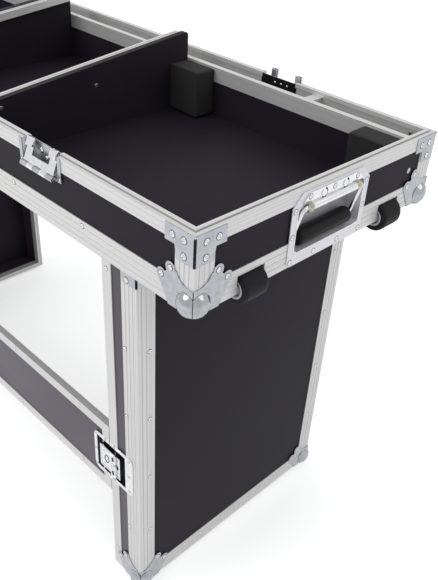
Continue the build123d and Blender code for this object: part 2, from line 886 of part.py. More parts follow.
def catch_cut():
    half = latch_pan_half + plate
    space = block(-rim_ridge - catch_pan - plate, cut_over, -cut_over, catch_depth + plate, -half, half)
    return Pos(leg_in, -leg_y, latch_z) * space


def crossbar_board():
    y0 = -leg_y + skin
    board = block(-bar_half + skin, bar_half - skin, y0, y0 + ply, bar_bottom + skin, bar_top - skin)
    for cut in both_ends(catch_cut()):
        board -= cut
    return board


def crossbar_trims():
    section = bar_section()
    y0, y1 = -leg_y, -leg_y + bar_thickness
    depth = bar_trim
    low = prism_x([(y0 + deep, bar_bottom + inward) for inward, deep in section], -bar_half, bar_half)
    low &= prism_y([(-bar_half, bar_bottom), (bar_half, bar_bottom), (bar_half - depth, bar_bottom + depth),
                    (-bar_half + depth, bar_bottom + depth)], y0, y1)
    high = mirror(low, Plane.XY.offset(latch_z))
    end = prism_z([(bar_half - inward, y0 + deep) for inward, deep in section], bar_bottom, bar_top)
    end &= prism_y([(bar_half, bar_bottom), (bar_half, bar_top), (bar_half - depth, bar_top - depth),
                    (bar_half - depth, bar_bottom + depth)], y0, y1)
    end -= catch_cut()
    return [low, high, *both_ends(end)]


# Build

def build_tray():
    save("tray_floor", tray_floor())
    save("tray_front_wall", tray_long_wall())
    save("tray_rear_wall", mirror(tray_long_wall(), Plane.XZ))
    save("tray_right_wall", tray_end_wall(wheels=True))
    save("tray_left_wall", mirror(tray_end_wall(wheels=False), Plane.YZ))
    save("rim_front", rim_front())
    save("rim_rear", mirror(rim_front(), Plane.XZ))
    save("rim_right", rim_right())
    save("rim_left", mirror(rim_right(), Plane.YZ))
    save("base_angle_front", base_front())
    save("base_angle_rear", mirror(base_front(), Plane.XZ))
    save("base_angle_right", base_right(wheels=True))
    save("base_angle_left", mirror(base_right(wheels=False), Plane.YZ))
    save("tray_corner_angles", *both_ends(*both_sides(corner_post())))
    save("corner_braces", *both_ends(*both_sides(corner_brace(), leg_brace())))
    save("tray_ball_corners", *both_ends(*both_sides(ball_corner(x_end, y_side, tray_bottom))))
    save("partition_right", partition())
    save("partition_left", mirror(partition(), Plane.YZ))
    save("mixer_rails", *both_ends(mixer_rail()))
    save("duct_board", duct_board())
    save("duct_rail", duct_rail())
    save("bay_foam_blocks", *bay_blocks())
    save("duct_bridges", *both_ends(duct_bridge()))


def build_keepers():
    fronts = front_places()
    backs = [Pos(side * keeper_x, y_side, tray_top) * Rot(0, 0, 180) for side in (1, -1)]
    for side, places in (("front", fronts), ("rear", backs)):
        save(f"keeper_dishes_{side}", *[place * keeper_dish() for place in places])
    for side, front, back in zip(("right", "left"), fronts, backs):
        save(f"keeper_front_{side}", front * keeper_leaf(parked_tilt))
        save(f"keeper_rear_{side}", back * keeper_leaf(0))


def build_handles():
    for side, turn in (("right", False), ("left", True)):
        for name, shape in (
            ("handle_dish", handle_dish()),
            ("handle_hinge_plate", handle_hinge()),
            ("handle_bail", handle_bail()),
            ("handle_grip", handle_grip()),
        ):
            save(f"{name}_{side}", mirror(shape, Plane.YZ) if turn else shape)


def build_wheels():
    places = wheel_places()
    save("wheel_mounts", *[place * wheel_mount() for place in places])
    for side, place in zip(("front", "rear"), places):
        save(f"wheel_tyre_{side}", place * wheel_tyre())
        save(f"wheel_hub_{side}", place * wheel_hub())


def build_stand():
    for side, turn in (("right", False), ("left", True)):
        for name, shapes in (
            ("leg_panel", [leg_panel()]),
            ("leg_walls", leg_walls()),
            ("leg_frame", leg_frame()),
            ("leg_angles", leg_angles()),
        ):
            save(f"{name}_{side}", *[mirror(shape, Plane.YZ) if turn else shape for shape in shapes])
    save("leg_ball_corners", *both_ends(*both_sides(foot_ball())))
    save("crossbar_board", crossbar_board())
    save("crossbar_trims", *crossbar_trims())
    seam = Pos(leg_in, -leg_y, latch_z)
    save("latch_dishes", *both_ends(seam * latch_dish()))
    save("catch_dishes", *both_ends(seam * catch_dish()))
    save("latch_hook_right", seam * latch_hook())
    save("latch_hook_left", mirror(seam * latch_hook(), Plane.YZ))
    save("latch_wing_right", seam * latch_wing())
    save("latch_wing_left", mirror(seam * latch_wing(), Plane.YZ))


os.makedirs("parts", exist_ok=True)
build_tray()
build_keepers()
build_handles()
build_wheels()
build_stand()
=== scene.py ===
import json
import math

import bmesh
import bpy
from mathutils import Euler, Matrix, Vector


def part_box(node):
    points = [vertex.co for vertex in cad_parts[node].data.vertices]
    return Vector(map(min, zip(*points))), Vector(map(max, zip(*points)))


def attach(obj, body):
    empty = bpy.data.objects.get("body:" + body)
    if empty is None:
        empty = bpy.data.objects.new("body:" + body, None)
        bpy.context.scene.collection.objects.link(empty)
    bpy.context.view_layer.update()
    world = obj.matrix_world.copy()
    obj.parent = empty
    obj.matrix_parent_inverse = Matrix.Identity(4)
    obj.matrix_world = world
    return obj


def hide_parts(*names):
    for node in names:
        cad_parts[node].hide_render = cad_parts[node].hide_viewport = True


MM = 0.001

# The photograph's frame and the camera that matches it
PHOTO_WIDTH = 438
PHOTO_HEIGHT = 580
CAMERA_PLACE = (1.17152, -0.7309, 1.2099)
CAMERA_TURN = (54.6635, -3.0052, 45.5389)
FOCAL_PIXELS = 718.83
LENS_CENTRE = (216.9, 303.81)
SENSOR = 36.0
CLIP = (0.05, 60.0)         # nearest and farthest that the camera sees, in metres

# Sizes that the frame doesn't hold, in millimetres
PLATE = 1.2                 # pressed steel, as in the solids
SKIN = 1.5
RIDGE = 1.5                 # tongue of the rim over its lip
RIM_WIDTH = 13.5

# Rivets and screws: radii of the heads, and profiles from a head's edge to its middle
RIVET = 4.6
RIVET_RISE = 1.7
EAR_RIVET = 4.2
POST_RIVET = 3.6
SMALL_RIVET = 2.4
SMALL_RISE = 1.2
RIVET_ROOT = 0.2            # depth of a head in the face under it
# Shares of a rivet's radius and rise: the dome, and the hole of its mandrel
RIVET_HEAD = ((0.96, 0.3), (0.75, 0.75), (0.45, 1.0), (0.24, 1.0), (0.216, 0.35), (0.0, 0.35))
SHADOW_RING = (0.9, 1.14)          # dark ring of painted shadow round a head: inner and outer share of its radius
SHADOW_RING_FACE = 0.1             # half its thickness
SCREW_HEAD = ((1.0, -0.1), (1.0, 0.35), (0.8, 0.6), (0.0, 0.6))     # share of the radius, height
HEAD_STEPS = 12
SCREW_STEPS = 16

# Meshes
FINE_SIDES = 6              # sides of a thin bar
BAR_SIDES = 8
SHARP_ANGLE = 35.0          # degrees, over which an edge stays sharp
PLATE_EDGE = 0.3            # broken edge of a flat plate
FILM = 0.2                  # half thickness of the dark film of painted shade that shows a slot or a hollow

# Corner fittings: places along the edge from the corner, and up or down from the lower or upper edge
BALL_RADIUS = 21.5
BALL_INSET = 11.5
EARS = ((55.5, 36.7), (39.7, 52.2))     # along, up
BRACE_TOP = 1.2
BRACE_SLIT = 1.5            # each face of a brace stops this far from the corner
# Dark strip of painted shadow in each slit: its length, and how far it stands out of the faces
SLIT_LENGTH = 40.0
SLIT_OUT = 0.25
BRACE_RIVETS = ((37.0, 11.8), (17.0, 11.8), (17.0, 32.8))   # along, down from the brace's top
LEG_BRACE_RIVET = (20.0, 36.5)
SEAM_STEPS = 16
SEAM_START = -35.26         # degrees, at the outermost point of the ball
SEAM_END = 40.85            # where the ball meets the edge
FOLD_SEAM = (24.0, 37.0)    # up the fold over each ball
SEAM_RADIUS = 0.6
SEAM_SINK = 0.3
BEAD_STEPS = 24
BEAD_START = -44.0          # degrees round the lobe
BEAD_END = 134.0
BEAD_TURN = 17.6
BEAD_RADIUS = 0.9

# Walls and partitions: screws from the corner and down from the rim
PANEL_SCREW = (56.0, 49.5)
PANEL_SCREW_RADIUS = 4.4
RIM_SCREW = (36.0, 11.3)
RIM_SCREW_RADIUS = 2.6
BASE_RIVETS = (124.0, 293.0, 462.0)     # from the middle of the long sides
BASE_RIVET_UP = 30.0
PARTITION_SCREWS = (-200.0, -20.0, 150.0)       # from the middle of the partition
PARTITION_SCREW_DROP = 12.0
PARTITION_SCREW_RADIUS = 3.6

# Handles: places from the middle and over the tray's lower edge
HANDLE_PLATE = 1.5
HANDLE_RIVET = 3.8
HANDLE_RIVETS = ((76.0, 84.0), (76.0, 46.0), (76.0, 8.0), (26.0, 8.0))
HINGE_RIVETS = (-50.0, 0.0, 50.0)
HINGE_RIVET_UP = 98.5
BARREL_LIFT = 84.0
BARREL_OUT = 3.0
MOUTH_HALF = 70.8           # bead round the mouth of the dish
MOUTH_LOW = 19.2
MOUTH_HIGH = 90.8
MOUTH_CORNER = 8.8
MOUTH_BEAD = 0.9
MOUTH_STEPS = 6
COIL_START = 48.0           # springs at both ends of the hinge
COIL_LENGTH = 7.0
COIL_TURNS = 3.5
COIL_STEPS = 84
COIL_RADIUS = 6.4
COIL_WIRE = 0.8
LUGS = (-23.0, 23.0)
LUG_UP = 96.0
CRESCENT = (5.1, 7.7)       # inner and outer radius of the slot beside a lug
CRESCENT_START = -115.0     # degrees
CRESCENT_END = 60.0
CRESCENT_STEPS = 12
GRIP_BORE = 3.55
GRIP_STEPS = 32
GRIP_END = ((0.0, 3.0), (0.5, 1.5), (1.5, 0.5), (3.5, 0.0), (30.0, 0.3), (54.0, 0.5))   # inset, sink

# Wheels
HUB_RADIUS = 15.0
HUB_BORE = 4.05
HUB_BOSS = 8.0
HUB_RIM = 3.0
HUB_DISH = 6.0
HUB_EDGE = 0.6              # broken edges
HUB_DRAFT = 0.4
HUB_FIT = 0.1               # inside the tyre's bore
HUB_STEPS = 40
TYRE_STEPS = 48
TYRE_EDGE = ((0.0, 4.5), (0.4, 2.6), (1.4, 1.0), (3.2, 0.15), (6.0, 0.0))   # inset, sink

# Keepers: places from the end of the case, the middle of a keeper and the rim
KEEPER_PLACE = 308.0
KEEPER_RIVET = (45.5, 32.0)
DISH_BACK_IN = 12.0            # back of the dish, a plate in black as painted shade, from the outside of the wall
DISH_BACK_WIDTH = 80.0
DISH_BACK_HEIGHT = 40.0
DISH_BACK_THICK = 1.3
DISH_BACK_RIVETS = (-8.0, 6.0, 20.0)
DISH_BACK_RIVET_DOWN = 9.0
HINGE_OUT = 5.6
HINGE_DROP = 33.0
PARKED_TILT = 23.1          # degrees that the front keepers lean into their dishes
WINDOW_HALF = 20.0
WINDOW_UP = (14.0, 30.0)    # from the hinge pin
WINDOW_BEAD = 1.5
WINDOW_BEAD_SIDES = 10
DISH_DEPTH = 10.8
DISH_RIVETS = ((-12.0, -11.0), (12.0, -11.0), (0.0, -20.0))

# Foam
FOAM_CELL = 4.0             # mesh, before it is smoothed
FOAM_SOFTNESS = 0.5
FOAM_ROUNDS = 4
FOAM_RELIEF = 1.5
FOAM_WAVE = 30.0            # width of the unevenness

# Stand
SIDE_LINE = 23.0            # rivets of a leg's angles, from the corner
FRONT_LINE = 28.0
FRAME_LINE = 10.0           # rivets of its frame, from the open side
POST_RIVETS = (145.5, 280.0, 412.0, 546.0)
FRAME_RIVETS = (50.0, 664.0)
FOOT_RIVETS = (-130.0, 0.0, 130.0)
FOOT_RIVET_UP = 24.0
BAR_RIVET_EDGE = 10.0
BAR_RIVETS = 2
BAR_RIVET_PITCH = 200.0
# From the seam between leg and crossbar, and over and under the latch's middle
LATCH_RIVETS = ((50.0, 36.0), (50.0, 0.0), (12.0, 40.6), (-38.6, 36.0), (-38.6, 0.0), (-12.0, 40.6))
HOOK_RIB = 0.9
HOOK_RIB_IN = 3.0
HOOK_RIB_ENDS = (-20.0, 26.0)
HOOK_RIVET = (-13.0, 15.0)
RING_PLACE = -6.0           # dark ring of painted shade round the hook's slot, from the seam
RING_HALF = (5.5, 8.0)
RING_WIRE = 0.7
RING_STEPS = 24
STEM_PLACE = 14.0           # wing's stem, from the seam
TAB_HEIGHT = 4.0            # wing's tabs in front of its face
LOBE_PLACE = 16.5           # pressed loops of the wing, from the stem
LOBE_HALF = (4.0, 7.0)
LOBE_WIRE = 1.0
HOLLOW_RISE = 0.15
BOSS_STEPS = 20
BOSS_PROFILE = ((5.5, -0.2), (5.5, 0.8), (4.6, 1.4), (2.2, 1.4), (1.8, 0.5), (0, 0.5))    # radius, height
PAN_DEPTH = 10.8
PAN_EDGE = 0.2
PAN_SHADE = ((0.5, 39.5, 35.5, 0.3), (-34.0, -2.0, 35.5, 2.5))     # dark films of painted shade on the dish floors: start, end, half height, rise
PAN_BARS = ((32.8, 35.2, 34.0, 5.0),)

# Studio, in metres and watts
FLOOR_HALF = 14.0
FLOOR_LIFT = 0.45           # white that the floor gains for the camera
WORLD_FILL = 0.7
FILL_COLOUR = (0.98, 0.99, 1.0, 1.0)
WHITE = (1.0, 1.0, 1.0, 1.0)
KEY_LAMP = {"place": (-0.9, -2.6, 3.2), "aim": (0, 0, 0.5), "size": 2.4, "watts": 45}
RIM_LAMP = {"place": (2.6, 1.4, 2.6), "aim": (0, 0, 0.6), "size": 2.0, "watts": 12}

# Most values of a noise texture lie between these two
NOISE_LOW = 0.3
NOISE_HIGH = 0.7

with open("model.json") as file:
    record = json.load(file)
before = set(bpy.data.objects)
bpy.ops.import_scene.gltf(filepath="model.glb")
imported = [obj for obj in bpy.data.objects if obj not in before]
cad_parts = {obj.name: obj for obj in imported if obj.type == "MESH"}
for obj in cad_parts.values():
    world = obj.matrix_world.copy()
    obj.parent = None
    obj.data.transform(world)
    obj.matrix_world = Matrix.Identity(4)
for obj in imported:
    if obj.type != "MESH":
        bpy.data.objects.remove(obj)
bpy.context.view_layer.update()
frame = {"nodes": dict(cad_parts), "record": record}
record = frame["record"]
nodes = frame["nodes"]

# Places, read from the frame, in metres
X_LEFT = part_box("base_angle_front")[0].x
X_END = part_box("base_angle_front")[1].x
MIDDLE = (X_LEFT + X_END) / 2
HALF_LENGTH = (X_END - X_LEFT) / 2
Y_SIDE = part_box("base_angle_rear")[1].y
TRAY_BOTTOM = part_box("base_angle_front")[0].z
TRAY_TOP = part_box("rim_right")[1].z - RIDGE * MM
LEG_LOW, LEG_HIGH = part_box("leg_angles_right")
LEG_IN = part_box("leg_frame_right")[0].x + RIDGE * MM
LEG_OUT = LEG_HIGH.x
LEG_Y = LEG_HIGH.y


# Materials

class Surface:
    """A material with its Principled shader, and the nodes that feed it."""

    def __init__(self, name):
        self.name = name
        self.material = bpy.data.materials.new(name)
        self.material.use_nodes = True
        self.tree = self.material.node_tree
        self.shader = self.tree.nodes["Principled BSDF"]
        self.place = self.add("ShaderNodeTexCoord").outputs["Object"]

    def add(self, kind, **values):
        """New node of a kind, with its properties set."""
        node = self.tree.nodes.new(kind)
        for key, value in values.items():
            setattr(node, key, value)
        return node

    def noise(self, scale, detail, rough=0.55):
        """Noise in the object's own coordinates, which don't move with the camera."""
        node = self.add("ShaderNodeTexNoise")
        node.inputs["Scale"].default_value = scale
        node.inputs["Detail"].default_value = detail
        node.inputs["Roughness"].default_value = rough
        self.tree.links.new(self.place, node.inputs["Vector"])
        return node.outputs["Fac"]

    def lines_along(self, run, scale, detail):
        """Fine lines along one axis: noise over the sum of the other two coordinates."""
        dot = self.add("ShaderNodeVectorMath", operation="DOT_PRODUCT")
        dot.inputs[1].default_value = [0.0 if axis == run else 1.0 for axis in "XYZ"]
        self.tree.links.new(self.place, dot.inputs[0])
        node = self.add("ShaderNodeTexNoise", noise_dimensions="1D")
        node.inputs["Scale"].default_value = scale
        node.inputs["Detail"].default_value = detail
        self.tree.links.new(dot.outputs["Value"], node.inputs["W"])
        return node.outputs["Fac"]

    def between(self, value, low, high):
        """A noise, mapped to a number between two values."""
        node = self.add("ShaderNodeMapRange")
        node.inputs["From Min"].default_value = NOISE_LOW
        node.inputs["From Max"].default_value = NOISE_HIGH
        node.inputs["To Min"].default_value = low
        node.inputs["To Max"].default_value = high
        self.tree.links.new(value, node.inputs["Value"])
        return node.outputs["Result"]

    def colour(self, value, low, high):
        """Base colour that follows a noise from one colour to another."""
        node = self.add("ShaderNodeMix", data_type="RGBA")
        node.inputs[6].default_value = (*low, 1)
        node.inputs[7].default_value = (*high, 1)
        self.tree.links.new(self.between(value, 0.0, 1.0), node.inputs[0])
        self.tree.links.new(node.outputs[2], self.shader.inputs["Base Color"])

    def roughness(self, value, low, high):
        """Roughness that follows a noise from one value to another."""
        self.tree.links.new(self.between(value, low, high), self.shader.inputs["Roughness"])

    def set(self, name, value):
        """One constant of the shader."""
        self.shader.inputs[name].default_value = value

    def relief(self, height, strength, depth, edge=0.0):
        """Relief from a noise, over edges that look rounded; depth and radius in millimetres."""
        bump = self.add("ShaderNodeBump")
        bump.inputs["Strength"].default_value = strength
        bump.inputs["Distance"].default_value = depth * MM
        self.tree.links.new(height, bump.inputs["Height"])
        if edge:
            bevel = self.add("ShaderNodeBevel", samples=4)
            bevel.inputs["Radius"].default_value = edge * MM
            self.tree.links.new(bevel.outputs["Normal"], bump.inputs["Normal"])
        self.tree.links.new(bump.outputs["Normal"], self.shader.inputs["Normal"])


def extrusion(run):
    """Satin anodised aluminium, with drawing lines along one axis and handling marks."""
    metal = Surface(f"extrusion_{run}")
    drawn = metal.lines_along(run, scale=420.0, detail=2.0)
    metal.colour(drawn, (0.57, 0.57, 0.56), (0.70, 0.70, 0.69))
    metal.roughness(metal.noise(scale=9.0, detail=6.0), 0.34, 0.46)
    metal.set("Metallic", 0.35)
    metal.relief(drawn, strength=0.25, depth=0.4, edge=0.5)
    return metal


def laminate(name, low, high, gloss, rough):
    """Black phenolic board: hard, faintly pebbled and dusty."""
    board = Surface(name)
    dust = board.noise(scale=5.0, detail=8.0)
    board.colour(dust, low, high)
    board.roughness(dust, rough, rough + 0.12)
    board.set("Specular IOR Level", gloss)
    board.relief(board.noise(scale=700.0, detail=2.0), strength=0.2, depth=0.4, edge=0.4)
    return board


def plate(name, low, high, metallic, rough, relief):
    """Zinc plated pressed steel with a bluish, slightly uneven shine."""
    steel = Surface(name)
    cloud = steel.noise(scale=60.0, detail=5.0)
    steel.colour(cloud, low, high)
    steel.roughness(cloud, rough, rough + 0.14)
    steel.set("Metallic", metallic)
    steel.relief(steel.noise(scale=400.0, detail=4.0), strength=relief, depth=0.3, edge=0.6)
    return steel


def bright_metal(name, low, high, rough, scale):
    """Smooth plating or wire, with faint polishing marks."""
    metal = Surface(name)
    marks = metal.noise(scale=scale, detail=3.0)
    metal.colour(marks, low, high)
    metal.roughness(marks, *rough)
    metal.set("Metallic", 1.0)
    return metal


def rubber(name, low, high, rough):
    """Moulded black rubber with a dull, slightly worn surface."""
    skin = Surface(name)
    cloud = skin.noise(scale=80.0, detail=5.0)
    skin.colour(cloud, low, high)
    skin.roughness(cloud, rough, rough + 0.15)
    skin.set("Specular IOR Level", 0.12)
    skin.relief(skin.noise(scale=1500.0, detail=2.0), strength=0.15, depth=0.2)
    return skin


def foam():
    """Black open-cell foam."""
    soft = Surface("foam")
    cells = soft.noise(scale=650.0, detail=3.0, rough=0.7)
    soft.colour(cells, (0.006, 0.006, 0.007), (0.022, 0.021, 0.023))
    soft.set("Roughness", 0.95)
    soft.relief(cells, strength=0.7, depth=1.2)
    return soft


def hub():
    """Grey nylon of the wheel's hub."""
    nylon = Surface("hub")
    cloud = nylon.noise(scale=90.0, detail=4.0)
    nylon.colour(cloud, (0.42, 0.43, 0.45), (0.55, 0.56, 0.58))
    nylon.roughness(cloud, 0.32, 0.45)
    return nylon


def painted_shade():
    """Painted shade: near-black film for slits, seams, slot openings and hollows, where shade falls."""
    dark = Surface("painted_shade")
    dark.colour(dark.noise(scale=200.0, detail=3.0), (0.008, 0.008, 0.010), (0.02, 0.02, 0.024))
    dark.set("Roughness", 0.7)
    dark.set("Specular IOR Level", 0.1)
    return dark


surfaces = [
    laminate("laminate", (0.016, 0.014, 0.018), (0.022, 0.019, 0.025), gloss=0.06, rough=0.42),
    # Same laminate with higher gloss and a lighter violet base colour: painted sheen of the lower boards
    laminate("laminate_painted_sheen", (0.034, 0.026, 0.038), (0.046, 0.036, 0.052), gloss=0.42, rough=0.3),
    plate("plate", (0.33, 0.34, 0.36), (0.46, 0.47, 0.49), metallic=0.9, rough=0.22, relief=0.1),
    plate("zinc", (0.66, 0.65, 0.68), (0.76, 0.75, 0.78), metallic=0.35, rough=0.3, relief=0.03),
    bright_metal("chrome", (0.32, 0.33, 0.35), (0.42, 0.43, 0.45), rough=(0.05, 0.11), scale=140.0),
    bright_metal("polished", (0.64, 0.64, 0.66), (0.74, 0.74, 0.76), rough=(0.14, 0.20), scale=140.0),
    bright_metal("rod", (0.56, 0.56, 0.58), (0.68, 0.68, 0.70), rough=(0.12, 0.22), scale=120.0),
    bright_metal("brass", (0.42, 0.39, 0.30), (0.55, 0.52, 0.42), rough=(0.22, 0.35), scale=160.0),
    rubber("grip", (0.006, 0.006, 0.007), (0.012, 0.012, 0.013), rough=0.42),
    rubber("tyre", (0.008, 0.008, 0.009), (0.016, 0.016, 0.018), rough=0.5),
    foam(),
    hub(),
    painted_shade(),
    *(extrusion(axis) for axis in "XYZ"),
]
materials = {surface.name: surface.material for surface in surfaces}

# Axis that each extrusion runs along, where it isn't the tray's length
RUNS = {
    "rim_right": "Y", "rim_left": "Y", "base_angle_right": "Y", "base_angle_left": "Y",
    "mixer_rails": "Y", "tray_corner_angles": "Z", "leg_angles_right": "Z", "leg_angles_left": "Z",
    "leg_frame_right": "Z", "leg_frame_left": "Z",
}

# Nodes with a brighter or glossier finish than their slot's, and the lower boards with the laminate of
# painted sheen
FINISHES = {
    "tray_ball_corners": "chrome", "leg_ball_corners": "chrome",
    "crossbar_board": "laminate_painted_sheen",
    "leg_walls_right": "laminate_painted_sheen", "leg_walls_left": "laminate_painted_sheen",
    "handle_dish_right": "zinc", "handle_dish_left": "zinc",
    "duct_bridges": "extrusion_Y",
    "handle_hinge_plate_right": "polished", "handle_hinge_plate_left": "polished",
    "latch_dishes": "polished", "catch_dishes": "polished",
    "latch_hook_right": "polished", "latch_hook_left": "polished",
    "latch_wing_right": "polished", "latch_wing_left": "polished",
}


def dress_nodes():
    """Give each CAD node its own finish, or the material of its slot."""
    for part in record["subparts"]:
        name = part["material_slot"]
        if name == "extrusion":
            name = "extrusion_" + RUNS.get(part["node"], "X")
        name = FINISHES.get(part["node"], name)
        mesh = nodes[part["node"]].data
        mesh.materials.clear()
        mesh.materials.append(materials[name])


# Mesh helpers

def new_object(name, data):
    """An object in the scene, with a mesh, a lamp or a camera."""
    thing = bpy.data.objects.new(name, data)
    bpy.context.scene.collection.objects.link(thing)
    return thing


def piece(name, bm, material, body, smooth=True):
    """Turn a bmesh into an object that rides on a body."""
    bmesh.ops.recalc_face_normals(bm, faces=bm.faces)
    mesh = bpy.data.meshes.new(name)
    bm.to_mesh(mesh)
    bm.free()
    mesh.materials.append(materials[material])
    if smooth:
        mesh.shade_smooth()
        mesh.set_sharp_from_angle(angle=math.radians(SHARP_ANGLE))
    thing = new_object(name, mesh)
    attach(thing, body)
    return thing


def on_face(origin, along, up):
    """Matrix whose X and Y run along and up a face, and whose Z stands out of it."""
    along = Vector(along)
    up = Vector(up)
    turn = Matrix((along, up, along.cross(up))).transposed().to_4x4()
    return Matrix.Translation(origin) @ turn


def at(place, along, up, out=0.0):
    """A place on a face, in millimetres from its origin."""
    return place @ Matrix.Translation((along * MM, up * MM, out * MM))


def on_plane(place, outline):
    """Points in metres of an outline in millimetres, on the plane of a place."""
    return [place @ Vector((x * MM, y * MM, 0)) for x, y in outline]


def rectangle(left, right, low, high):
    """Outline of a rectangle."""
    return [(left, low), (right, low), (right, high), (left, high)]


def angles(start, end, steps):
    """Evenly spaced angles in radians from one in degrees to another, both ends counted."""
    return [math.radians(start + (end - start) * step / steps) for step in range(steps + 1)]


def lathe(bm, place, profile, steps):
    """Turn a (radius, height) profile in millimetres round the Z axis of a place."""
    closed = profile[0] == profile[-1]
    rings = []
    for radius, height in profile[:-1] if closed else profile:
        if radius == 0:
            rings.append([bm.verts.new(place @ Vector((0, 0, height * MM)))])
            continue
        ring = []
        for step in range(steps):
            turn = 2 * math.pi * step / steps
            point = (radius * MM * math.cos(turn), radius * MM * math.sin(turn), height * MM)
            ring.append(bm.verts.new(place @ Vector(point)))
        rings.append(ring)
    for low, high in zip(rings, rings[1:] + rings[:1] if closed else rings[1:]):
        for step in range(steps):
            after = (step + 1) % steps
            corners = [low[step % len(low)], low[after % len(low)]]
            corners += [high[after % len(high)], high[step % len(high)]]
            kept = list(dict.fromkeys(corners))
            if len(kept) > 2:
                bm.faces.new(kept)


def tube(bm, points, radius, sides=BAR_SIDES):
    """A round bar through points in metres, its radius in millimetres."""
    rings = []
    side = None
    for count, point in enumerate(points):
        before = points[max(count - 1, 0)]
        after = points[min(count + 1, len(points) - 1)]
        run = (after - before).normalized()
        side = run.orthogonal() if side is None else side - run * side.dot(run)
        side.normalize()
        other = run.cross(side)
        ring = []
        for step in range(sides):
            turn = 2 * math.pi * step / sides
            away = side * math.cos(turn) + other * math.sin(turn)
            ring.append(bm.verts.new(point + away * radius * MM))
        rings.append(ring)
    for low, high in zip(rings, rings[1:]):
        for step in range(sides):
            after = (step + 1) % sides
            bm.faces.new((low[step], low[after], high[after], high[step]))
    bm.faces.new(rings[0])
    bm.faces.new(rings[-1])


def slab(bm, place, outline, low, high, edge=PLATE_EDGE):
    """A flat plate from an outline in millimetres, with its upper edge broken."""
    centre = Vector((sum(x for x, _ in outline), sum(y for _, y in outline))) / len(outline)
    levels = ((low, 0.0), (high - edge, 0.0), (high, edge)) if edge else ((low, 0.0), (high, 0.0))
    rings = []
    for height, inset in levels:
        ring = []
        for x, y in outline:
            away = Vector((x, y)) - centre
            spot = centre + away * (1 - inset / max(away.length, 1))
            ring.append(bm.verts.new(place @ Vector((spot.x * MM, spot.y * MM, height * MM))))
        rings.append(ring)
    count = len(outline)
    for under, over in zip(rings, rings[1:]):
        for step in range(count):
            after = (step + 1) % count
            bm.faces.new((under[step], under[after], over[after], over[step]))
    bm.faces.new(rings[0])
    bm.faces.new(rings[-1])


# Faces of the tray, each with its origin in the middle of its upper edge, and its half width

TRAY_FACES = {
    "front": (on_face((MIDDLE, -Y_SIDE, TRAY_TOP), (1, 0, 0), (0, 0, 1)), HALF_LENGTH / MM),
    "rear": (on_face((MIDDLE, Y_SIDE, TRAY_TOP), (-1, 0, 0), (0, 0, 1)), HALF_LENGTH / MM),
    "right": (on_face((X_END, 0, TRAY_TOP), (0, 1, 0), (0, 0, 1)), Y_SIDE / MM),
    "left": (on_face((X_LEFT, 0, TRAY_TOP), (0, -1, 0), (0, 0, 1)), Y_SIDE / MM),
}
TRAY_HEIGHT = (TRAY_TOP - TRAY_BOTTOM) / MM
LEG_HEIGHT = (LEG_HIGH.z - LEG_LOW.z) / MM
LEG_WIDTH = (LEG_OUT - LEG_IN) / MM


def leg_corner(side, face):
    """Foot of a leg: the outer corner of its front or rear face, or the middle of its outer face."""
    x = MIDDLE + side * (LEG_OUT - MIDDLE)
    if face == "outer":
        return on_face((x, 0, LEG_LOW.z), (0, side, 0), (0, 0, 1))
    way = 1 if face == "front" else -1
    return on_face((x, -way * LEG_Y, LEG_LOW.z), (way, 0, 0), (0, 0, 1))


# Dark rings of painted shadow round all fixed rivets, filled by rivet()
rivet_shadows = bmesh.new()


def rivet(bm, place, radius=RIVET, rise=RIVET_RISE, with_shadow=True):
    """Domed pop rivet with the hole of its mandrel, and a dark ring of painted shadow round it on what it
    holds.
    """
    if with_shadow:
        inner, outer = (share * radius for share in SHADOW_RING)
        ring = ((inner, -SHADOW_RING_FACE), (inner, SHADOW_RING_FACE), (outer, SHADOW_RING_FACE), (outer, -SHADOW_RING_FACE))
        lathe(rivet_shadows, place, (*ring, ring[0]), HEAD_STEPS)
    head = [(radius * out, rise * up) for out, up in RIVET_HEAD]
    lathe(bm, place, [(radius, -RIVET_ROOT), *head], HEAD_STEPS)


def screw(bm, place, radius):
    """Low round head of a screw."""
    lathe(bm, place, [(radius * out, height) for out, height in SCREW_HEAD], SCREW_STEPS)


# Small parts of the tray

def tray_rivets():
    """Rivets of the braces, the ball corners and the long edge angles."""
    bm = bmesh.new()
    for place, half in TRAY_FACES.values():
        for side in (1, -1):
            for along, down in BRACE_RIVETS:
                rivet(bm, at(place, side * (half - along), -down - BRACE_TOP, PLATE))
            for along, up in EARS:
                rivet(bm, at(place, side * (half - along), up - TRAY_HEIGHT, PLATE), EAR_RIVET)
    for name in ("front", "rear"):
        for along in BASE_RIVETS:
            for side in (1, -1):
                rivet(bm, at(TRAY_FACES[name][0], side * along, BASE_RIVET_UP - TRAY_HEIGHT), POST_RIVET)
    piece("rivets_tray", bm, "rod", "case")


def brace_slit_shadows():
    """Painted shadow: a dark strip in the slit between the two faces of each brace, down the corner of
    the case.
    """
    bm = bmesh.new()
    place = Matrix.Translation((MIDDLE, 0, 0))
    inner = -BRACE_SLIT
    outline = rectangle(inner, SLIT_OUT, inner, SLIT_OUT)
    tray = (HALF_LENGTH / MM, Y_SIDE / MM, TRAY_TOP / MM)
    leg = ((LEG_OUT - MIDDLE) / MM, LEG_Y / MM, LEG_HIGH.z / MM)
    for side in (1, -1):
        for end in (1, -1):
            for x, y, top in (tray, leg):
                high = top - BRACE_TOP - 2 * PLATE
                spots = [(side * (x + a), end * (y + b)) for a, b in outline]
                slab(bm, place, spots, high - SLIT_LENGTH, high, edge=0.0)
    piece("shadows_in_brace_slits", bm, "painted_shade", "case", smooth=False)


